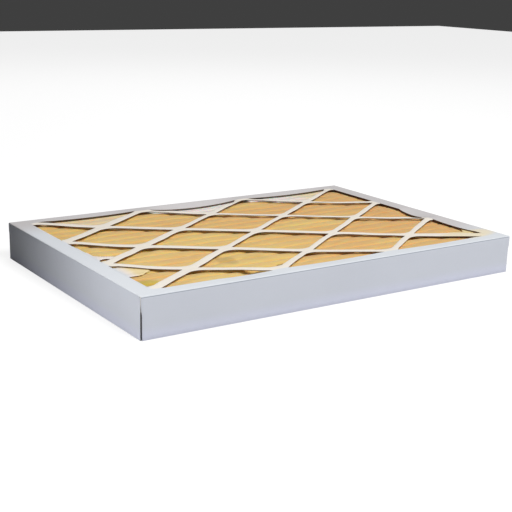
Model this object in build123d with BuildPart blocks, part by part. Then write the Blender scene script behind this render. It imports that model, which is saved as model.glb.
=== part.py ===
import os
from math import asin, atan2, cos, degrees, hypot, sin

from build123d import *

# Whole panel: a nominal 20 x 14 x 2 inch filter at its actual size.
# X runs along the long side, Y along the short side, Z up through the depth.
# The origin is the middle of the face that rests on the filter rack.
panel_length = 495.0
panel_width = 343.0
panel_depth = 44.5

# Coated board of the two die-cut trays, each folded from one blank
board = 0.8
fold_radius = 1.2
seam_gap = 0.9
tab_length = 35.0
tab_taper = 6.0
tab_margin = 4.0
nest_gap = 0.5

# Diagonal lattice cut in both tray faces
end_flange = 20.5
side_flange = 15.5
lattice_columns = 6
lattice_rows = 6
strap_width = 11.0
blunt_corner_radius = 8.0

# Pleated sheet of non-woven media: full, round crests on the entry side, tight
# folds on the exit side that are pressed into a flat on their inside
pleat_count = 17
media_thickness = 2.5
crest_radius = 7.5
root_radius = 4.2
crease_inset = 0.5
crease_depth = 0.8
entry_clearance = 1.5
leg_foot_height = 8.0

# Welded wire grid behind the media
wire = 0.8
cross_wire_count = 9
cross_wire_spacing = 50.8
long_wire_length = 470.0

# Adhesive
end_seal_thickness = 2.0
end_seal_round = 1.5

# Sizes that follow from the ones above
field_length = panel_length - 2 * end_flange
field_width = panel_width - 2 * side_flange
cell_length = field_length / lattice_columns
cell_width = field_width / lattice_rows
strap_angle = degrees(atan2(cell_width, cell_length))
strap_reach = 2 * hypot(field_length, field_width)

exit_length = panel_length - 2 * board
exit_width = panel_width - 4 * board
exit_height = panel_depth - board - nest_gap

pack_half_width = exit_width / 2 - 2 * board
media_length = exit_length - 2 * board - 2 * end_seal_thickness
media_top = panel_depth - board - entry_clearance
media_bottom = board + 2 * wire
inner_crest_radius = crest_radius - media_thickness
inner_root_radius = root_radius - media_thickness
pleat_pitch = 2 * (pack_half_width - crest_radius) / (pleat_count - 1)
crest_z = media_top - crest_radius
root_z = media_bottom + root_radius
rise = crest_z - root_z
both_bends = crest_radius + root_radius - media_thickness
flank_tilt = atan2(pleat_pitch / 2, rise) - asin(both_bends / hypot(pleat_pitch / 2, rise))
tilt_cos = cos(flank_tilt)
tilt_sin = sin(flank_tilt)


def is_blunt(corner):
    """True for a corner straight above or below a crossing of two straps."""
    columns = corner.X / cell_length
    inside = abs(corner.X) < field_length / 2 - strap_width
    return inside and abs(columns - round(columns)) < 0.01


# The diamonds and half diamonds left between the diagonal straps
strap_starts = [(column * cell_length, 0) for column in range(-4, 5, 2)]
with BuildSketch() as openings:
    Rectangle(field_length, field_width)
    for lean in (strap_angle, -strap_angle):
        with Locations(*strap_starts):
            Rectangle(strap_reach, strap_width, rotation=lean, mode=Mode.SUBTRACT)
    fillet(openings.vertices().filter_by(is_blunt), radius=blunt_corner_radius)


def cut_lattice(face_z):
    """Cut the lattice through a tray face whose lower side is at face_z."""
    with BuildSketch(Plane.XY.offset(face_z)) as cut:
        add(openings.sketch)
    extrude(cut.sketch, amount=board, mode=Mode.SUBTRACT)


def cut_corner_seams(half_length, half_width, low, high):
    """Part the short walls from the long ones along the four upright edges."""
    seam_places = [(x * half_length, y * half_width) for x in (-1, 1) for y in (-1, 1)]
    with BuildSketch(Plane.XY.offset(low)) as seams:
        with Locations(*seam_places):
            Rectangle(2 * seam_gap, 2 * board)
    extrude(seams.sketch, amount=high - low, mode=Mode.SUBTRACT)


def add_corner_tabs(half_length, half_width, low, high):
    """Glue tabs that turn off the short walls and lie behind the long ones.

    Each is drawn on the plane of its +Y side and made one board thick towards -Y.
    """
    tab_bottom = low + tab_margin
    tab_top = high - tab_margin
    free_end = half_length - tab_length
    for tab_back in (half_width - board, 2 * board - half_width):
        with BuildSketch(Plane.XZ.offset(-tab_back)) as tabs:
            for end in (-1, 1):
                with BuildLine():
                    Polyline(
                        (end * half_length, tab_bottom),
                        (end * free_end, tab_bottom + tab_taper),
                        (end * free_end, tab_top - tab_taper),
                        (end * half_length, tab_top),
                        close=True,
                    )
                make_face()
        extrude(tabs.sketch, amount=board)


def crest_y(pleat):
    return (pleat - (pleat_count - 1) / 2) * pleat_pitch


def draw_root(start, end, middle, radius):
    """Turn under a root: round on its outside, a pressed flat on its inside."""
    if radius == root_radius:
        ThreePointArc(start, middle - Vector(0, radius), end)
    else:
        shoulder = Vector(radius - crease_inset, -radius * crease_depth)
        Polyline(start, middle + Vector(-shoulder.X, shoulder.Y), middle + shoulder, end)


def draw_sheet_face(crest_bend, root_bend):
    """One face of the folded sheet, from the foot of one end leg to the other."""
    for pleat in range(pleat_count):
        crest = Vector(crest_y(pleat), crest_z)
        crest_left = crest + Vector(-tilt_cos, tilt_sin) * crest_bend
        crest_right = crest + Vector(tilt_cos, tilt_sin) * crest_bend
        if pleat == 0:
            crest_left = crest - Vector(crest_bend, 0)
            Line((crest_left.X, leg_foot_height), crest_left)
        if pleat == pleat_count - 1:
            crest_right = crest + Vector(crest_bend, 0)
            Line(crest_right, (crest_right.X, leg_foot_height))
        ThreePointArc(crest_left, crest + Vector(0, crest_bend), crest_right)
        if pleat < pleat_count - 1:
            root = Vector(crest_y(pleat) + pleat_pitch / 2, root_z)
            root_left = root + Vector(-tilt_cos, -tilt_sin) * root_bend
            root_right = root + Vector(tilt_cos, -tilt_sin) * root_bend
            next_crest = Vector(crest_y(pleat + 1), crest_z)
            next_left = next_crest + Vector(-tilt_cos, tilt_sin) * crest_bend
            Line(crest_right, root_left)
            draw_root(root_left, root_right, root, root_bend)
            Line(root_right, next_left)


def wire_line(distance):
    """Corner points of a cross wire's side that lies this far from the media."""
    crest_half = (inner_crest_radius - distance + distance * tilt_sin) / tilt_cos
    root_drop = root_radius + wire + distance
    root_half = (root_radius + distance - root_drop * tilt_sin) / tilt_cos
    points = []
    for pleat in range(pleat_count):
        middle = crest_y(pleat)
        left = 0 if pleat == 0 else crest_half
        right = 0 if pleat == pleat_count - 1 else crest_half
        points.append((middle - left, crest_z - distance))
        points.append((middle + right, crest_z - distance))
        if pleat < pleat_count - 1:
            root_y = middle + pleat_pitch / 2
            points.append((root_y - root_half, root_z - root_drop))
            points.append((root_y + root_half, root_z - root_drop))
    return points


# Entry tray: the outer half of the frame, with its lattice on top
with BuildPart() as entry_tray:
    with BuildSketch():
        Rectangle(panel_length, panel_width)
    extrude(amount=panel_depth)
    fillet(entry_tray.faces().sort_by(Axis.Z)[-1].edges(), radius=fold_radius)
    offset(amount=-board, openings=entry_tray.faces().sort_by(Axis.Z)[0])
    cut_lattice(panel_depth - board)
    cut_corner_seams(panel_length / 2, panel_width / 2, 0, panel_depth - fold_radius)
    add_corner_tabs(panel_length / 2, panel_width / 2, 0, panel_depth - fold_radius)
entry_tray.part.label = "entry_tray"

# Exit tray: the inner half, nested in the other with its lattice at the bottom
with BuildPart() as exit_tray:
    with BuildSketch():
        Rectangle(exit_length, exit_width)
    extrude(amount=exit_height)
    fillet(exit_tray.faces().sort_by(Axis.Z)[0].edges(), radius=fold_radius)
    offset(amount=-board, openings=exit_tray.faces().sort_by(Axis.Z)[-1])
    cut_lattice(0)
    cut_corner_seams(exit_length / 2, exit_width / 2, fold_radius, exit_height)
    add_corner_tabs(exit_length / 2, exit_width / 2, fold_radius, exit_height)
exit_tray.part.label = "exit_tray"

# Media: one sheet folded into pleats that run the length of the panel
with BuildPart() as pleated_media:
    with BuildSketch(Plane.YZ.offset(-media_length / 2)):
        with BuildLine():
            draw_sheet_face(crest_radius, inner_root_radius)
            draw_sheet_face(inner_crest_radius, root_radius)
            for side in (-1, 1):
                Line(
                    (side * pack_half_width, leg_foot_height),
                    (side * (pack_half_width - media_thickness), leg_foot_height),
                )
        make_face()
    extrude(amount=media_length)
pleated_media.part.label = "pleated_media"

# Wire grid: cross wires follow the folds, and long wires are welded on them
# under the lower tips, where the two sets touch
with BuildPart() as cross_wires:
    cross_wire_starts = [
        (number - (cross_wire_count - 1) / 2) * cross_wire_spacing - wire / 2
        for number in range(cross_wire_count)
    ]
    with BuildSketch(*[Plane.YZ.offset(start) for start in cross_wire_starts]):
        with BuildLine():
            Polyline(*wire_line(0), *reversed(wire_line(wire)), close=True)
        make_face()
    extrude(amount=wire)

with BuildPart() as long_wires:
    long_wire_places = [
        (0, crest_y(pleat) + pleat_pitch / 2, media_bottom - wire / 2)
        for pleat in range(pleat_count - 1)
    ]
    with Locations(*long_wire_places):
        Box(long_wire_length, wire, wire)

wire_solids = cross_wires.part.solids() + long_wires.part.solids()
wire_grid = Compound(label="wire_grid", children=wire_solids)

# End seals: adhesive on the short walls, with the pleat ends set in it
end_seals = {}
for name, end in (("left_end_seal", -1), ("right_end_seal", 1)):
    with BuildPart() as end_seal:
        seal_x = end * (media_length + end_seal_thickness) / 2
        with Locations((seal_x, 0, (fold_radius + media_top) / 2)):
            Box(end_seal_thickness, 2 * pack_half_width, media_top - fold_radius)
        inner_face = end_seal.faces().sort_by(Axis.X)[0 if end > 0 else -1]
        fillet(inner_face.edges().sort_by(Axis.Z)[-1], radius=end_seal_round)
    end_seals[name] = end_seal.part

# Side seals: adhesive between the media's end legs and the long walls
side_seals = {}
for name, side in (("front_side_seal", -1), ("back_side_seal", 1)):
    with BuildPart() as side_seal:
        seal_y = side * (pack_half_width + board / 2)
        with Locations((0, seal_y, (leg_foot_height + crest_z) / 2)):
            Box(exit_length - 2 * tab_length, board, crest_z - leg_foot_height)
    side_seals[name] = side_seal.part

os.makedirs("parts", exist_ok=True)
export_step(entry_tray.part, "parts/entry_tray.step")
export_step(exit_tray.part, "parts/exit_tray.step")
export_step(pleated_media.part, "parts/pleated_media.step")
export_step(wire_grid, "parts/wire_grid.step")
for name, seal in {**end_seals, **side_seals}.items():
    seal.label = name
    export_step(seal, f"parts/{name}.step")
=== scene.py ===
import math
import bmesh
import bpy
from mathutils import Matrix, Vector, noise


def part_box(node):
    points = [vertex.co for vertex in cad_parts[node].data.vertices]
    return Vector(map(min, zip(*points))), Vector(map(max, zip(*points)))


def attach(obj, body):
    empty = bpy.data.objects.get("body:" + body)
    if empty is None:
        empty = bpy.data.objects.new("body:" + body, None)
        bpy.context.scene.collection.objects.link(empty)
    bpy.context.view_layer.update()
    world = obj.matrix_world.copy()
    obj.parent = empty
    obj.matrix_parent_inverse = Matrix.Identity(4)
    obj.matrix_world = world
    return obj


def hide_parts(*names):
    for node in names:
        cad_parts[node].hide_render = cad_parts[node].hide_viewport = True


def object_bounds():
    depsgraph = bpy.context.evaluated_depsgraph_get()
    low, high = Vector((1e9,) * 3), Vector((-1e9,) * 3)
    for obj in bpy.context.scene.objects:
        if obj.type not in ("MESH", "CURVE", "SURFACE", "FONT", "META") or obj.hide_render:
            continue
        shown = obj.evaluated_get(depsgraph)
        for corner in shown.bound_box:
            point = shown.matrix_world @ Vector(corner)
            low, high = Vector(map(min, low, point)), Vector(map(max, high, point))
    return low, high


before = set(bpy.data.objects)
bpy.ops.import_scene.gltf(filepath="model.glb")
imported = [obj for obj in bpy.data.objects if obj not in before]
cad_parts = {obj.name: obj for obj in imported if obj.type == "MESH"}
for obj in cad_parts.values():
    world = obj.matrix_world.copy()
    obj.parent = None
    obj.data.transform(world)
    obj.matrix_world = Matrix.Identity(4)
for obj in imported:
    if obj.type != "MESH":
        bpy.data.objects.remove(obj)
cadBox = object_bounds()
print("frame loaded")


# shader helpers

class Wire:
    # a node socket that takes part in plain sums
    def __init__(self, shader, socket):
        self.shader = shader
        self.socket = socket

    def calc(self, operation, other, swapped=False):
        first, second = (other, self) if swapped else (self, other)
        return self.shader.add("ShaderNodeMath", {"operation": operation}, {0: first, 1: second})

    def __add__(self, other):
        return self.calc("ADD", other)

    __radd__ = __add__

    def __mul__(self, other):
        return self.calc("MULTIPLY", other)

    __rmul__ = __mul__

    def __sub__(self, other):
        return self.calc("SUBTRACT", other)

    def __rsub__(self, other):
        return self.calc("SUBTRACT", other, swapped=True)

    def distance(self):
        return self.shader.add("ShaderNodeMath", {"operation": "ABSOLUTE"}, {0: self})

    def clipped(self):
        return self.shader.add("ShaderNodeClamp", {}, {0: self})


class Shader:
    # a material's node tree, and its Principled shader
    def __init__(self, name, **fixed):
        self.material = bpy.data.materials.new(name)
        self.material.use_nodes = True
        self.tree = self.material.node_tree
        self.base = self.tree.nodes["Principled BSDF"]
        for socket, value in fixed.items():
            self.base.inputs[socket.replace("_", " ")].default_value = value
        self.place = self.add("ShaderNodeTexCoord", {}, {}, "Object")

    def add(self, kind, settings, values, out=0):
        node = self.tree.nodes.new(kind)
        for name, value in settings.items():
            setattr(node, name, value)
        for key, value in values.items():
            if isinstance(value, Wire):
                self.tree.links.new(value.socket, node.inputs[key])
            else:
                node.inputs[key].default_value = value
        return Wire(self, node.outputs[out])

    def feed(self, socket, wire):
        self.tree.links.new(wire.socket, self.base.inputs[socket])

    def axis(self, name):
        return self.add("ShaderNodeSeparateXYZ", {}, {0: self.place}, name)

    def stretched(self, scale):
        return self.add("ShaderNodeMapping", {}, {"Vector": self.place, "Scale": scale})

    def cloud(self, scale, detail=3.0, vector=None, roughness=0.55):
        values = {"Vector": vector or self.place, "Scale": scale, "Detail": detail, "Roughness": roughness}
        return self.add("ShaderNodeTexNoise", {}, values, "Fac")

    def ramp(self, wire, low, high):
        # 0 below low, 1 above high, smooth between
        settings = {"interpolation_type": "SMOOTHSTEP"}
        return self.add("ShaderNodeMapRange", settings, {"Value": wire, "From Min": low, "From Max": high})

    def blend(self, mask, first, second):
        # a colour between two, as a mask goes from 0 to 1
        values = {"Factor": mask, 6: first, 7: second}
        return self.add("ShaderNodeMix", {"data_type": "RGBA"}, values, 2)

    def spot(self, x, y, centre, radii, soft=0.5):
        # 1 inside an ellipse on the face, 0 outside
        across = (x - centre[0]) * (1 / radii[0])
        along = (y - centre[1]) * (1 / radii[1])
        return 1 - self.ramp(across * across + along * along, 1 - soft, 1 + soft)

    def bump(self, height, distance, strength=1.0):
        values = {"Height": height, "Distance": distance, "Strength": strength}
        self.feed("Normal", self.add("ShaderNodeBump", {}, values))


def toLinear(red, green, blue):
    # a display colour from 0 to 255 as the scene's own light values
    channels = []
    for level in (red, green, blue):
        share = level / 255
        channels.append(share / 12.92 if share <= 0.04045 else ((share + 0.055) / 1.055) ** 2.4)
    return (*channels, 1)


def darker(colour, share):
    return tuple(share * channel for channel in colour[:3]) + (1,)


# mesh helpers

def finishPiece(bm, name, material, smooth=True):
    bmesh.ops.remove_doubles(bm, verts=bm.verts, dist=1e-6)
    bmesh.ops.recalc_face_normals(bm, faces=bm.faces)
    mesh = bpy.data.meshes.new(name)
    bm.to_mesh(mesh)
    bm.free()
    for face in mesh.polygons:
        face.use_smooth = smooth
    piece = bpy.data.objects.new(name, mesh)
    bpy.context.collection.objects.link(piece)
    mesh.materials.append(material)
    return piece


def pushEdges(bm, edges, step):
    # extrude a row of edges by one step, and give the new row
    made = bmesh.ops.extrude_edge_only(bm, edges=edges)
    fresh = [part for part in made["geom"] if isinstance(part, bmesh.types.BMVert)]
    edges = [part for part in made["geom"] if isinstance(part, bmesh.types.BMEdge)]
    row = [edge for edge in edges if all(vert in fresh for vert in edge.verts)]
    bmesh.ops.translate(bm, verts=fresh, vec=step)
    return row


def smoothStep(low, high, value):
    share = min(max((value - low) / (high - low), 0), 1)
    return share * share * (3 - 2 * share)


def wobble(x, y, scale, seed=0.0):
    # slow uneven drift between about -1 and 1
    return noise.noise(Vector((x / scale + seed, y / scale - seed, seed * 0.37)))


# the panel's own sizes, all in metres

panel = {
    "length": cadBox[1][0] - cadBox[0][0],
    "width": cadBox[1][1] - cadBox[0][1],
    "depth": cadBox[1][2] - cadBox[0][2],
    "board": 0.0008,
    "foldRadius": 0.0012,
    "endFlange": 0.0205,
    "sideFlange": 0.0155,
    "columns": 6,
    "rows": 6,
    "strapWidth": 0.011,
}
halfLength = panel["length"] / 2
halfWidth = panel["width"] / 2
fieldHalfX = halfLength - panel["endFlange"]
fieldHalfY = halfWidth - panel["sideFlange"]
cellX = 2 * fieldHalfX / panel["columns"]
cellY = 2 * fieldHalfY / panel["rows"]
strapLean = math.atan2(cellY, cellX)

sag = {
    "straps": 0.0012,
    "backSpans": ((-0.205, -0.090, 0.0013), (-0.066, 0.070, 0.0047), (0.080, 0.220, 0.0022)),
    "frontSpans": ((-0.150, -0.080, 0.0009), (-0.055, 0.055, 0.0007), (0.095, 0.205, 0.0006)),
    "rightSpans": ((-0.135, -0.058, 0.0015), (-0.050, 0.005, 0.0033)),
    "fade": 0.022,
    "slip": (-0.0040, -0.0012),
    "waver": 0.0011,
    "pinchOneWay": 0.30,
    "pinchOtherWay": 0.34,
    "pinchEverywhere": 0.03,
    "pinchOneWaySpan": (-0.14, -0.02),
    "pinchOtherWaySpan": (0.0, 0.15),
    "pinchLean": 0.8,
    "cornerWidening": 0.5,
    "cornerReach": (0.05, 0.12),
    "spanPower": 0.7,
    "strapFade": 0.055,
    "strapUnevenness": 0.35,
    "slipFade": 0.045,
    "waverFade": 0.012,
}


def spanDip(along, spans):
    for low, high, depth in spans:
        if low < along < high:
            return depth * math.sin(math.pi * (along - low) / (high - low)) ** sag["spanPower"]
    return 0.0


def edgeDip(out, edge, outer, dip):
    # a flange's free edge hangs down between two straps
    if out > edge:
        return dip * smoothStep(outer - 0.001, edge, out)
    return dip * smoothStep(edge - sag["fade"], edge, out)


def fieldShare(x, y, width):
    # 0 on the flanges, 1 well inside the lattice
    shareX = smoothStep(fieldHalfX, fieldHalfX - width, abs(x))
    shareY = smoothStep(fieldHalfY, fieldHalfY - width, abs(y))
    return shareX * shareY


def edgeSag(x, y):
    back = edgeDip(y, fieldHalfY, halfWidth, spanDip(x, sag["backSpans"]))
    front = edgeDip(-y, fieldHalfY, halfWidth, spanDip(x, sag["frontSpans"]))
    right = edgeDip(x, fieldHalfX, halfLength, spanDip(y, sag["rightSpans"]))
    return max(back, front, right)


def faceDip(x, y):
    # how far the entry face lies below its flat plane
    uneven = 1 + sag["strapUnevenness"] * wobble(x, y, 0.06, 3.1)
    loose = sag["straps"] * fieldShare(x, y, sag["strapFade"]) * uneven
    return edgeSag(x, y) + loose


def faceSlip(x, y):
    # how far the lattice has crept within its plane
    share = fieldShare(x, y, sag["slipFade"])
    wave = sag["waver"] * fieldShare(x, y, sag["waverFade"])
    slipX = sag["slip"][0] * share + wave * wobble(x, y, 0.028, 7.7)
    slipY = sag["slip"][1] * share + wave * wobble(x, y, 0.028, 11.3)
    return slipX, slipY


def bandShift(away, spacing, pinch):
    # how far a point moves across one strap direction when each strap is drawn in by a share
    away -= spacing * round(away / spacing)
    half = panel["strapWidth"] / 2
    if abs(away) <= half:
        return -pinch * away
    left = (spacing / 2 - abs(away)) / (spacing / 2 - half)
    return -pinch * math.copysign(half, away) * left


def strapPinch(x, y):
    # the straps are cut narrower towards the back and the right
    sine, cosine = math.sin(strapLean), math.cos(strapLean)
    spacing = 2 * cellX * sine
    share = fieldShare(x, y, 0.006)
    least = sag["pinchEverywhere"]
    rising = share * (least + sag["pinchOneWay"] * smoothStep(*sag["pinchOneWaySpan"], x))
    further = smoothStep(*sag["pinchOtherWaySpan"], x + sag["pinchLean"] * y)
    falling = least + sag["pinchOtherWay"] * further
    # the strap that ends in the front right corner widens instead
    corner = 1 - smoothStep(*sag["cornerReach"], math.hypot(x - fieldHalfX, y + fieldHalfY))
    falling = share * (falling * (1 - corner) - sag["cornerWidening"] * corner)
    first = bandShift(x * sine - y * cosine, spacing, rising)
    second = bandShift(-x * sine - y * cosine, spacing, falling)
    return (first - second) / (2 * sine), -(first + second) / (2 * cosine)


# board materials

# how far in from the outside each band of the board's edge lies, from start to end
boardEdge = {
    "rim": (0.0020, 0.0012),
    "top": (0.0010, 0.0004),
    "creaseShadeStart": (0.0019, 0.0014),
    "creaseShadeEnd": (0.0012, 0.0007),
}
boardMarks = (
    {"at": (-0.0620, -0.1350), "radii": (0.0042, 0.0020), "share": 0.90, "colour": toLinear(92, 66, 44)},
    {"at": (0.208, -0.140), "radii": (0.040, 0.018), "share": 0.80, "colour": toLinear(234, 220, 186)},
)


def makeBoard(name, flangeColour, strapColour, wallColour, paintedShadeColour, seed):
    shader = Shader(name, Roughness=0.62, Specular_IOR_Level=0.35)
    x = shader.axis("X")
    y = shader.axis("Y")
    z = shader.axis("Z")
    sideX = x.distance()
    sideY = y.distance()
    field = (1 - shader.ramp(sideX, fieldHalfX - 0.006, fieldHalfX + 0.004)) * (
        1 - shader.ramp(sideY, fieldHalfY - 0.004, fieldHalfY + 0.002))
    mottle = shader.cloud(14.0, 4.0, shader.stretched((1, 1.4, 1 + seed)))
    grain = shader.cloud(900.0, 2.0, shader.stretched((1, 0.25, 1)))

    def band(wire, outside, name):
        start, end = boardEdge[name]
        return shader.ramp(wire, outside - start, outside - end)

    inner = (1 - band(sideX, halfLength, "rim")) * (1 - band(sideY, halfWidth, "rim"))
    top = band(z, panel["depth"], "top")
    wall = shader.blend(mottle, wallColour, darker(wallColour, 0.93))
    # painted light: the wall turns paler and bluer near its foot, standing for light thrown up from the
    # floor
    foot = 1 - shader.ramp(z, 0.002, 0.016)
    wall = shader.blend(foot * 0.8, wall, toLinear(224, 227, 246))
    # painted shade: the flange face turns greyer towards the back and the right, where it lies in less light
    farShade = (shader.ramp(y, 0.090, fieldHalfY) + shader.ramp(x, 0.190, fieldHalfX)).clipped()
    flange = shader.blend(farShade * (1 - shader.ramp(0 - y, 0.08, 0.16)), flangeColour, paintedShadeColour)
    face = shader.blend(shader.ramp(field + mottle * 0.3, 0.35, 0.95), flange, strapColour)
    entrySide = shader.ramp(z, 0.030, 0.036)
    for mark in boardMarks:
        spot = shader.spot(x, y, mark["at"], mark["radii"]) * entrySide
        face = shader.blend(spot * mark["share"], face, mark["colour"])
    whole = shader.blend((top + inner).clipped(), wall, face)
    # painted shade: a thin blue-grey line along the fold at the top of the walls, strong on the long walls
    # and faint on the short ones
    score = band(z, panel["depth"], "creaseShadeStart")
    score = score * (1 - band(z, panel["depth"], "creaseShadeEnd")) * (1 - inner)
    longSide = shader.ramp(sideY, halfWidth - 0.003, halfWidth - 0.002)
    whole = shader.blend(score * (0.15 + longSide * 0.65), whole, toLinear(140, 150, 162))
    shade = shader.blend(grain * 0.10, whole, darker(wallColour, 0.55))
    shader.feed("Base Color", shade)
    shader.feed("Roughness", 0.55 + mottle * 0.15)
    shader.bump(grain * 0.6 + mottle, 0.00012, 0.35)
    return shader.material


entryBoard = makeBoard(
    "entryBoard",
    flangeColour=toLinear(219, 223, 228),
    strapColour=toLinear(240, 232, 219),
    wallColour=toLinear(222, 226, 236),
    paintedShadeColour=toLinear(202, 198, 198),
    seed=0.0,
)
exitBoard = makeBoard(
    "exitBoard",
    flangeColour=toLinear(219, 221, 224),
    strapColour=toLinear(219, 221, 224),
    wallColour=toLinear(219, 221, 224),
    paintedShadeColour=toLinear(214, 215, 217),
    seed=0.4,
)


def makeCore():
    # the brown paper core that a cut edge shows, darkened near each corner seam as painted shade of the gap
    # there, and torn white at the top of each corner seam
    shader = Shader("boardCore", Roughness=0.9)
    fleck = shader.cloud(700.0, 2.0)
    core = shader.blend(fleck, toLinear(92, 72, 52), toLinear(120, 96, 72))
    x = shader.axis("X")
    z = shader.axis("Z")
    sideX = x.distance()
    tear = shader.cloud(260.0, 1.0)
    # painted shade: the core turns near black by the corner seams, standing for the shaded gap there
    seam = shader.ramp(sideX, halfLength - 0.006, halfLength - 0.004)
    core = shader.blend(seam, core, toLinear(58, 50, 44))
    torn = seam * shader.ramp(z + tear * 0.006, 0.029, 0.034)
    shader.feed("Base Color", shader.blend(torn, core, toLinear(226, 224, 224)))
    return shader.material


boardCore = makeCore()


# entry tray: the lattice face and the four folded walls

tray = {
    "gridStep": 0.0035,
    "wallRings": 9,
    "foldSteps": 4,
    "seamTop": 0.0001,
    "seamBottom": 0.0012,
    "cornerRadius": 0.019,
}


def onStrap(x, y):
    for lean in (strapLean, -strapLean):
        for column in range(-4, 5, 2):
            away = (x - column * cellX) * math.sin(lean) - y * math.cos(lean)
            if abs(away) < panel["strapWidth"] / 2:
                return True
    return False


def cutLattice(bm):
    # score the sheet along every strap edge, then drop what lies between
    def score(point, normal):
        parts = bm.verts[:] + bm.edges[:] + bm.faces[:]
        bmesh.ops.bisect_plane(bm, geom=parts, dist=1e-7, plane_co=point, plane_no=normal)

    for lean in (strapLean, -strapLean):
        normal = Vector((math.sin(lean), -math.cos(lean), 0))
        for column in range(-4, 5, 2):
            for edge in (-1, 1):
                middle = Vector((column * cellX, 0, 0))
                score(middle + normal * edge * panel["strapWidth"] / 2, normal)
    for side in (-1, 1):
        score(Vector((side * fieldHalfX, 0, 0)), Vector((1, 0, 0)))
        score(Vector((0, side * fieldHalfY, 0)), Vector((0, 1, 0)))
    holes = []
    for face in bm.faces:
        spot = face.calc_center_median()
        if abs(spot.x) < fieldHalfX and abs(spot.y) < fieldHalfY and not onStrap(spot.x, spot.y):
            holes.append(face)
    bmesh.ops.delete(bm, geom=holes, context="FACES")


def roundCorners(bm):
    # the blunt corner over or under each crossing follows an arc
    radius = tray["cornerRadius"]
    slope = Vector((math.cos(strapLean), math.sin(strapLean), 0))
    corner = panel["strapWidth"] / 2 / math.cos(strapLean)
    toCentre = radius / math.cos(strapLean)
    reach = radius * math.tan(strapLean) * slope.x
    for vert in bm.verts:
        onFlange = abs(vert.co.x) > fieldHalfX - 1e-6 or abs(vert.co.y) > fieldHalfY - 1e-6
        if not vert.is_boundary or onFlange:
            continue
        column = round(vert.co.x / cellX)
        row = round(vert.co.y / cellY)
        if (column + row) % 2:
            continue
        side = 1 if vert.co.y > row * cellY else -1
        centre = Vector((column * cellX, row * cellY + side * (corner + toCentre), 0))
        away = vert.co - centre
        overStraps = abs(vert.co.y - row * cellY) > abs(away.x) * math.tan(strapLean)
        inside = abs(row + side * 0.5) < panel["rows"] / 2
        if overStraps and inside and abs(away.x) < reach and away.length > radius:
            vert.co = centre + away.normalized() * radius


def makeSheet():
    bm = bmesh.new()
    sizeX = halfLength - panel["foldRadius"]
    sizeY = halfWidth - panel["foldRadius"]
    cellsX = round(2 * sizeX / tray["gridStep"])
    cellsY = round(2 * sizeY / tray["gridStep"])
    bmesh.ops.create_grid(bm, x_segments=cellsX, y_segments=cellsY, size=1)
    bmesh.ops.scale(bm, vec=(sizeX, sizeY, 1), verts=bm.verts)
    cutLattice(bm)
    roundCorners(bm)
    bmesh.ops.dissolve_degenerate(bm, edges=bm.edges, dist=2e-5)
    return bm


def foldWall(bm, axis, side, height):
    # turn one side of the sheet down into a wall: an arc, then straight rings
    across = Vector((0, side, 0)) if axis == "y" else Vector((side, 0, 0))
    along = Vector((1, 0, 0)) if axis == "y" else Vector((0, 1, 0))
    reach = (halfWidth if axis == "y" else halfLength) - panel["foldRadius"]
    rim = []
    for edge in bm.edges:
        flat = all(abs(v.co.dot(across) - reach) < 1e-6 and v.co.z > -1e-6 for v in edge.verts)
        if edge.is_boundary and flat:
            rim.append(edge)
    centre = across * reach - Vector((0, 0, panel["foldRadius"]))
    turn = along.cross(across).z
    made = bmesh.ops.spin(
        bm, geom=rim, cent=centre, axis=along, angle=-turn * math.pi / 2, steps=tray["foldSteps"],
        dvec=(0, 0, 0), use_duplicate=False)
    last = [part for part in made["geom_last"] if isinstance(part, bmesh.types.BMEdge)]
    drop = (height - panel["foldRadius"]) / tray["wallRings"]
    for ring in range(tray["wallRings"]):
        last = pushEdges(bm, last, (0, 0, -drop))


def makeEntryTray():
    bm = makeSheet()
    height = panel["depth"]
    for side in (-1, 1):
        foldWall(bm, "y", side, height)
    for side in (-1, 1):
        foldWall(bm, "x", side, height)
    for vert in bm.verts:
        x, y, z = vert.co
        share = -z / height
        seam = tray["seamTop"] + (tray["seamBottom"] - tray["seamTop"]) * smoothStep(0.2, 0.45, share)
        if abs(y) > halfWidth - panel["foldRadius"] + 1e-6:
            stretch = (halfLength - seam) / (halfLength - panel["foldRadius"])
            vert.co.x = x * (1 + (stretch - 1) * smoothStep(0, 0.03, share))
        vert.co.z = z + height
        if z > -1e-6:
            slipX, slipY = faceSlip(x, y)
            pinchX, pinchY = strapPinch(x, y)
            vert.co += Vector((slipX + pinchX, slipY + pinchY, -faceDip(x, y)))
    piece = finishPiece(bm, "latticeTray", entryBoard)
    piece.data.materials.append(boardCore)
    thick = piece.modifiers.new("board", "SOLIDIFY")
    thick.thickness = panel["board"]
    thick.material_offset_rim = 1
    thick.offset = -1
    normals = piece.modifiers.new("flatFaces", "WEIGHTED_NORMAL")
    normals.weight = 90
    return piece


latticeTray = makeEntryTray()
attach(latticeTray, "root")
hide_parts("entry_tray")
print("tray made", len(latticeTray.data.polygons))


# exit tray keeps its solid

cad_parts["exit_tray"].data.materials.clear()
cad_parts["exit_tray"].data.materials.append(exitBoard)


# pleated media

media = {
    "pleats": 17,
    "thickness": 0.0025,
    "crestRadius": 0.0075,
    "crestBulge": 0.0021,
    "rootRadius": 0.0042,
    "crestFlatness": 8.0,
    "stepsX": 100,
    "crestSteps": 12,
    "rootSteps": 6,
    "flankSteps": 3,
    "pressDepth": 0.0008,
    "pressStart": (-0.004, 0.002),
    "pressEnd": (0.018, 0.008),
    "legFoot": 0.008,
    "grooveFill": 0.3,
    "rightGrooveFill": 0.65,
    "rightGrooves": (0.180, 0.205),
    "waver": 0.0011,
    "loft": 0.0008,
}
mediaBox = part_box("pleated_media")
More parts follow.
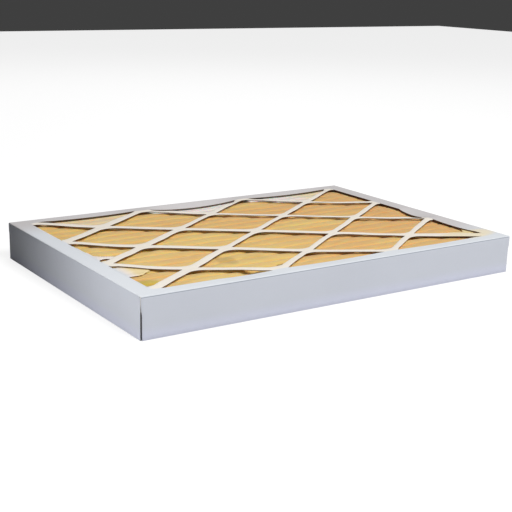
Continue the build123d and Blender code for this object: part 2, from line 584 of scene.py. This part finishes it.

# stains on the media, painted shade over the places where it is pushed in, and those places
stainsAndPitShade = (
    {"at": (-0.214, -0.128), "radii": (0.012, 0.013), "share": 0.75, "colour": toLinear(186, 166, 58)},
    {"at": (-0.099, -0.086), "radii": (0.010, 0.018), "share": 0.45, "colour": toLinear(168, 136, 76)},
    {"at": (-0.066, -0.092), "radii": (0.016, 0.010), "share": 0.25, "colour": toLinear(176, 144, 84)},
    # painted shade: these four dark brown spots lie over the pits below and stand for the shade in them
    {"at": (0.1675, -0.1115), "radii": (0.0070, 0.0034), "share": 0.90, "colour": toLinear(78, 52, 32)},
    {"at": (-0.056, -0.1262), "radii": (0.0050, 0.0026), "share": 0.90, "colour": toLinear(78, 52, 32)},
    {"at": (-0.096, -0.1390), "radii": (0.0150, 0.0062), "share": 0.80, "colour": toLinear(84, 60, 40)},
    {"at": (-0.219, -0.0345), "radii": (0.008, 0.009), "share": 0.85, "colour": toLinear(120, 78, 50)},
)
pits = (
    {"at": (-0.219, -0.0345), "radii": (0.0070, 0.0080), "depth": 0.0060},
    {"at": (-0.056, -0.1260), "radii": (0.0060, 0.0040), "depth": 0.0040},
    {"at": (-0.096, -0.1390), "radii": (0.0150, 0.0065), "depth": 0.0080},
    {"at": (0.1675, -0.1115), "radii": (0.0070, 0.0040), "depth": 0.0030},
)


def pitDepth(x, y):
    depth = 0.0
    for pit in pits:
        across = (x - pit["at"][0]) / pit["radii"][0]
        along = (y - pit["at"][1]) / pit["radii"][1]
        depth += pit["depth"] * math.exp(-(across * across + along * along) ** 2)
    return depth


def makeMediaMaterial():
    shader = Shader(
        "mediaFibre",
        Roughness=0.95,
        Specular_IOR_Level=0.15,
        Sheen_Weight=0.2,
        Sheen_Roughness=0.5,
        Subsurface_Weight=0.35,
        Subsurface_Scale=0.006,
    )
    x = shader.axis("X")
    y = shader.axis("Y")
    z = shader.axis("Z")
    fibre = shader.cloud(420.0, 5.0, shader.stretched((0.35, 1, 1)), 0.7)
    patch = shader.cloud(9.0, 3.0, shader.stretched((0.6, 1.6, 1)))
    streak = shader.cloud(60.0, 3.0, shader.stretched((0.12, 1, 1)))
    gold = toLinear(218, 182, 104)
    orange = toLinear(214, 168, 98)
    pale = toLinear(226, 194, 126)
    tone = shader.blend(shader.ramp(patch, 0.38, 0.62), gold, orange)
    tone = shader.blend(shader.ramp(streak, 0.5, 0.75) * 0.25, tone, pale)
    # painted shade: the felt turns darker and browner lower down in the pleats
    grooveShade = shader.ramp(z, mediaBox[1][2] - 0.004, mediaBox[1][2] - 0.018)
    tone = shader.blend(grooveShade * 0.35, tone, toLinear(190, 140, 80))
    tone = shader.blend(fibre * 0.22, tone, toLinear(232, 204, 150))
    drift = shader.ramp(x + y * 0.3 + patch * 0.2, 0.10, 0.36)
    tone = shader.blend(drift * 0.6, tone, toLinear(206, 156, 98))
    period = shader.add("ShaderNodeMath", {"operation": "PINGPONG"}, {0: x, 1: cellX})
    climb = (y - 2 * cellY) - period * (cellY / cellX)
    entrySide = shader.ramp(z, 0.022, 0.036)
    scrim = shader.ramp(climb, -0.002, 0.004) * entrySide
    warm = shader.blend(shader.ramp(x, -0.09, -0.05), toLinear(222, 200, 160), toLinear(226, 219, 216))
    warm = shader.blend(shader.ramp(x, 0.14, 0.19), warm, toLinear(224, 208, 172))
    tone = shader.blend(scrim * 0.9, tone, warm)
    # stains, and the painted shade over the pits
    for mark in stainsAndPitShade:
        spot = shader.spot(x, y, mark["at"], mark["radii"]) * entrySide
        tone = shader.blend(spot * mark["share"], tone, mark["colour"])
    shader.feed("Base Color", tone)
    shader.bump(fibre * 0.6 + patch, 0.0006, 0.4)
    return shader.material


def strapPress(x, y):
    # the felt sinks along the near side of the straps that climb to the right
    spacing = 2 * cellX * math.sin(strapLean)
    away = x * math.sin(strapLean) - y * math.cos(strapLean)
    away -= spacing * round(away / spacing)
    started = smoothStep(*media["pressStart"], away)
    return media["pressDepth"] * started * smoothStep(*media["pressEnd"], away)


def makeMedia():
    low, high = mediaBox
    thickness = media["thickness"]
    crestBend = media["crestRadius"] - thickness / 2
    rootBend = media["rootRadius"] - thickness / 2
    halfPack = (high[1] - low[1]) / 2
    pitch = 2 * (halfPack - media["crestRadius"]) / (media["pleats"] - 1)
    crestZ = high[2] - media["crestRadius"]
    rootZ = low[2] + media["rootRadius"]
    rise = crestZ - rootZ
    tilt = math.atan2(pitch / 2, rise) - math.asin((crestBend + rootBend) / math.hypot(pitch / 2, rise))
    footZ = media["legFoot"]
    bm = bmesh.new()

    def turn(centreY, centreZ, bend, fromAngle, toAngle, steps, bulge=0.0, power=2.0):
        # points round a bend; a bulge widens it, and a power over 2 flattens its middle
        spots = []
        for step in range(steps + 1):
            angle = fromAngle + (toAngle - fromAngle) * step / steps
            across, up = math.cos(angle), math.sin(angle)
            swell = (abs(across) ** power + abs(up) ** power) ** (-1 / power)
            spots.append((centreY + (bend + bulge) * across * swell, centreZ + bend * up * swell))
        return spots

    def between(first, second):
        spots = []
        for step in range(1, media["flankSteps"]):
            share = step / media["flankSteps"]
            spots.append(tuple(a + (b - a) * share for a, b in zip(first, second)))
        return spots

    firstY = -(media["pleats"] - 1) / 2 * pitch
    line = [(firstY - crestBend, footZ)]
    for pleat in range(media["pleats"]):
        crestY = firstY + pleat * pitch
        left = math.pi if pleat == 0 else math.pi - tilt
        right = 0.0 if pleat == media["pleats"] - 1 else tilt
        edge = pleat in (0, media["pleats"] - 1)
        bulge = 0.0 if edge else media["crestBulge"]
        steps, power = media["crestSteps"], media["crestFlatness"]
        crest = turn(crestY, crestZ, crestBend, left, right, steps, bulge, power)
        line += between(line[-1], crest[0]) + crest
        if pleat < media["pleats"] - 1:
            start, end = math.pi + tilt, 2 * math.pi - tilt
            root = turn(crestY + pitch / 2, rootZ, rootBend, start, end, media["rootSteps"])
            line += between(line[-1], root[0]) + root
    foot = (line[-1][0], footZ)
    line += between(line[-1], foot) + [foot]
    chain = [bm.verts.new((low[0], *spot)) for spot in line]
    row = [bm.edges.new(pair) for pair in zip(chain, chain[1:])]
    stride = (high[0] - low[0]) / media["stepsX"]
    for step in range(media["stepsX"]):
        row = pushEdges(bm, row, (stride, 0, 0))
    for vert in bm.verts:
        x, y, z = vert.co
        lift = smoothStep(rootZ, crestZ, z)
        inner = smoothStep(halfPack, halfPack - 0.012, abs(y))
        if z > crestZ + 0.5 * crestBend and 0 < inner:
            # the grooves are shallow, and glue has filled them at the right end
            fill = media["grooveFill"] + media["rightGrooveFill"] * smoothStep(*media["rightGrooves"], x)
            vert.co.z += fill * (crestZ + crestBend - z)
        vert.co.y += inner * lift * media["waver"] * wobble(x, round(y / pitch), 0.045, 1.7)
        loft = media["loft"] * (1 + 0.5 * wobble(x, y, 0.03, 5.3)) + strapPress(x, y)
        vert.co.z -= lift * (faceDip(x, y) + loft + pitDepth(x, y))
    piece = finishPiece(bm, "foldedMedia", makeMediaMaterial())
    thick = piece.modifiers.new("felt", "SOLIDIFY")
    thick.thickness = thickness
    thick.offset = 0
    return piece


foldedMedia = makeMedia()
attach(foldedMedia, "root")
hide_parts("pleated_media")


# glue films over the pleat ends at the left flange and in the front right corner

glueFilm = {
    "right": -0.1930,
    "cell": 0.0012,
    "thickness": 0.0004,
    "hole": (-0.2165, -0.0352),
    "holeRadii": (0.0085, 0.0078),
    "cornerHole": (0.2235, -0.1345),
    "cornerHoleRadii": (0.0040, 0.0036),
    "middleEnd": -0.0275,
    "middleSlope": 0.55,
    "middleTip": 0.046,
    "middleTipSpan": (-0.2210, -0.2245),
    "frontEnd": -0.1010,
    "frontClimb": 0.014,
    "frontClimbSpan": (-0.2120, -0.1900),
    "cornerEnd": -0.1067,
    "cornerSlope": 0.31,
    "cornerStart": 0.165,
    "cornerRise": 1.5,
    "cornerTurn": 0.2175,
    "tuck": 0.002,
    "ripple": 0.0003,
    "aboveMedia": 0.0002,
    "belowBoard": 0.0007,
}


def farEdge(x):
    # the film in the middle triangle ends in a curve that climbs towards the flange
    slope = (glueFilm["right"] - x) * glueFilm["middleSlope"]
    tip = glueFilm["middleTip"] * smoothStep(*glueFilm["middleTipSpan"], x)
    return glueFilm["middleEnd"] + slope + tip + 0.0010 * wobble(x, 0, 0.006, 2.2)


def nearEdge(x):
    # the film in the front triangle ends in a lip that climbs to the right
    climb = smoothStep(*glueFilm["frontClimbSpan"], x) * glueFilm["frontClimb"]
    return glueFilm["frontEnd"] + climb + 0.0012 * wobble(x, 0, 0.008, 4.4)


def strapLine(x, lean):
    # the middle of the strap that leaves the left flange a third of the way along it
    return -cellY + lean * (x + fieldHalfX) * cellY / cellX


def inHole(x, y, centre, radii):
    across = (x - centre[0]) / radii[0]
    along = (y - centre[1]) / radii[1]
    return across * across + along * along < 1


def inMiddleFilm(x, y):
    torn = inHole(x, y, glueFilm["hole"], glueFilm["holeRadii"])
    return strapLine(x, 1) - glueFilm["tuck"] < y < farEdge(x) and not torn


def inFrontFilm(x, y):
    return nearEdge(x) < y < strapLine(x, -1) + glueFilm["tuck"]


def inCornerFilm(x, y):
    # a web lies along the strap and closes the tip of the front right opening but for one small hole
    torn = inHole(x, y, glueFilm["cornerHole"], glueFilm["cornerHoleRadii"])
    fall = glueFilm["cornerSlope"] * (x - glueFilm["cornerStart"])
    top = glueFilm["cornerEnd"] - fall + glueFilm["cornerRise"] * max(x - glueFilm["cornerTurn"], 0)
    return -x * cellY / cellX - glueFilm["tuck"] < y < top and not torn


def makeGlueMaterial():
    shader = Shader("driedGlueFilm", Roughness=0.42, Specular_IOR_Level=0.45)
    x = shader.axis("X")
    y = shader.axis("Y")
    cloudy = shader.cloud(60.0, 3.0)
    front = 1 - shader.ramp(y, -0.066, -0.058)
    tone = shader.blend(cloudy, toLinear(236, 226, 214), toLinear(244, 234, 228))
    tone = shader.blend(front * shader.ramp(x, -0.222, -0.208), tone, toLinear(236, 214, 158))
    atFlange = 1 - shader.ramp(x, -0.226, -0.219)
    shader.feed("Base Color", shader.blend(atFlange, tone, toLinear(222, 225, 232)))
    shader.bump(cloudy, 0.0008, 0.4)
    return shader.material


filmMaterial = makeGlueMaterial()


def makeFilm(name, spanX, spanY, inside):
    left, right = spanX
    low, high = spanY
    bm = bmesh.new()
    cellsX = round((right - left) / glueFilm["cell"])
    cellsY = round((high - low) / glueFilm["cell"])
    bmesh.ops.create_grid(bm, x_segments=cellsX, y_segments=cellsY, size=0.5)
    bmesh.ops.scale(bm, vec=(right - left, high - low, 1), verts=bm.verts)
    bmesh.ops.translate(bm, vec=((left + right) / 2, (low + high) / 2, 0), verts=bm.verts)
    spare = [f for f in bm.faces if not inside(f.calc_center_median().x, f.calc_center_median().y)]
    bmesh.ops.delete(bm, geom=spare, context="FACES")
    for vert in bm.verts:
        x, y, z = vert.co
        dip = faceDip(x, y)
        ripple = glueFilm["ripple"] * wobble(x, y, 0.009, 6.1)
        resting = mediaBox[1][2] - dip + glueFilm["aboveMedia"] + ripple
        vert.co.z = min(resting, panel["depth"] - panel["board"] - glueFilm["belowBoard"] - dip)
    piece = finishPiece(bm, name, filmMaterial)
    thick = piece.modifiers.new("film", "SOLIDIFY")
    thick.thickness = glueFilm["thickness"]
    thick.offset = 1
    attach(piece, "root")


leftSpan = (-0.2290, glueFilm["right"])
makeFilm("glueFilmMiddle", spanX=leftSpan, spanY=(-0.050, 0.040), inside=inMiddleFilm)
makeFilm("glueFilmFront", spanX=leftSpan, spanY=(-0.106, -0.064), inside=inFrontFilm)
makeFilm("glueFilmCorner", spanX=(0.1660, 0.2300), spanY=(-0.158, -0.100), inside=inCornerFilm)
print("glue films made")


# wire grid and adhesive keep their solids

steel = Shader("galvanisedWire", Metallic=0.9, Roughness=0.42)
steel.feed("Base Color", steel.blend(steel.cloud(300.0), toLinear(150, 152, 156), toLinear(196, 198, 202)))
glue = Shader("driedGlue", Roughness=0.45)
glue.feed("Base Color", glue.blend(glue.cloud(120.0), toLinear(233, 224, 205), toLinear(243, 238, 226)))
sealNodes = ("left_end_seal", "right_end_seal", "front_side_seal", "back_side_seal")
for node, shader in (("wire_grid", steel), *((seal, glue) for seal in sealNodes)):
    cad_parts[node].data.materials.clear()
    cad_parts[node].data.materials.append(shader.material)


# floor, lights and camera

studio = {
    "floorSize": 9.0,
    "floorTone": 0.22,
    "worldTone": 0.10,
    "floorDrop": 0.0002,
    "floorGlow": 0.84,
}
lamps = (
    {"name": "keyLamp", "spot": (0.35, -2.0, 2.35), "target": (0, 0, 0), "size": 1.1, "power": 100},
    {"name": "backLamp", "spot": (0.9, 1.6, 1.8), "target": (0, 0, 0), "size": 1.6, "power": 19},
    {
        "name": "sideLamp",
        "spot": (-0.6514, -0.0403, 0.12),
        "target": (-0.5450, -0.2668, 0.10),
        "size": 0.10,
        "power": 1.8,
    },
)


def makeFloor():
    bm = bmesh.new()
    bmesh.ops.create_grid(bm, x_segments=8, y_segments=8, size=studio["floorSize"] / 2)
    bmesh.ops.translate(bm, verts=bm.verts, vec=(0, 0, -studio["floorDrop"]))
    material = bpy.data.materials.new("paleFloor")
    material.use_nodes = True
    tree = material.node_tree
    tree.nodes.clear()
    out = tree.nodes.new("ShaderNodeOutputMaterial")
    path = tree.nodes.new("ShaderNodeLightPath")
    seen = tree.nodes.new("ShaderNodeMath")
    seen.operation = "MAXIMUM"
    tree.links.new(path.outputs["Is Camera Ray"], seen.inputs[0])
    tree.links.new(path.outputs["Is Glossy Ray"], seen.inputs[1])
    plain = tree.nodes.new("ShaderNodeBsdfDiffuse")
    plain.inputs["Color"].default_value = (studio["floorTone"],) * 3 + (1,)
    glow = tree.nodes.new("ShaderNodeEmission")
    glow.inputs["Strength"].default_value = studio["floorGlow"]
    both = tree.nodes.new("ShaderNodeAddShader")
    mix = tree.nodes.new("ShaderNodeMixShader")
    tree.links.new(plain.outputs[0], both.inputs[0])
    tree.links.new(glow.outputs[0], both.inputs[1])
    tree.links.new(seen.outputs[0], mix.inputs[0])
    tree.links.new(plain.outputs[0], mix.inputs[1])
    tree.links.new(both.outputs[0], mix.inputs[2])
    tree.links.new(mix.outputs[0], out.inputs["Surface"])
    floor = finishPiece(bm, "floor", material, smooth=False)


def makeWorld():
    world = bpy.data.worlds.new("studio")
    bpy.context.scene.world = world
    world.use_nodes = True
    tree = world.node_tree
    back = tree.nodes["Background"]
    path = tree.nodes.new("ShaderNodeLightPath")
    seen = tree.nodes.new("ShaderNodeMath")
    seen.operation = "MAXIMUM"
    tree.links.new(path.outputs["Is Camera Ray"], seen.inputs[0])
    tree.links.new(path.outputs["Is Glossy Ray"], seen.inputs[1])
    tone = tree.nodes.new("ShaderNodeMapRange")
    tone.inputs["To Min"].default_value = studio["worldTone"]
    tone.inputs["To Max"].default_value = 1.0
    tree.links.new(seen.outputs[0], tone.inputs["Value"])
    tree.links.new(tone.outputs[0], back.inputs["Strength"])


def addLamp(name, spot, target, size, power):
    lamp = bpy.data.lights.new(name, "AREA")
    lamp.shape = "SQUARE"
    lamp.size = size
    lamp.energy = power
    piece = bpy.data.objects.new(name, lamp)
    piece.location = spot
    aim = Vector(target) - Vector(spot)
    piece.rotation_euler = aim.to_track_quat("-Z", "Y").to_euler()
    bpy.context.collection.objects.link(piece)


camera = {
    "eye": (-0.6854, -1.0172, 0.3442),
    "heading": 33.88,
    "fall": 15.20,
    "roll": -1.31,
    "lens": 73.9,
    "sensor": 36,
}


def makeCamera():
    heading = math.radians(camera["heading"])
    fall = math.radians(camera["fall"])
    ahead = Vector((math.sin(heading) * math.cos(fall), math.cos(heading) * math.cos(fall), -math.sin(fall)))
    data = bpy.data.cameras.new("view")
    data.lens = camera["lens"]
    data.sensor_width = camera["sensor"]
    piece = bpy.data.objects.new("view", data)
    piece.location = camera["eye"]
    turn = ahead.to_track_quat("-Z", "Y")
    roll = Matrix.Rotation(math.radians(camera["roll"]), 4, ahead)
    piece.rotation_euler = (roll @ turn.to_matrix().to_4x4()).to_euler()
    bpy.context.collection.objects.link(piece)
    bpy.context.scene.camera = piece


makeFloor()
makeWorld()
for lamp in lamps:
    addLamp(**lamp)
makeCamera()
bpy.context.scene.view_settings.view_transform = "Standard"
print("studio made")
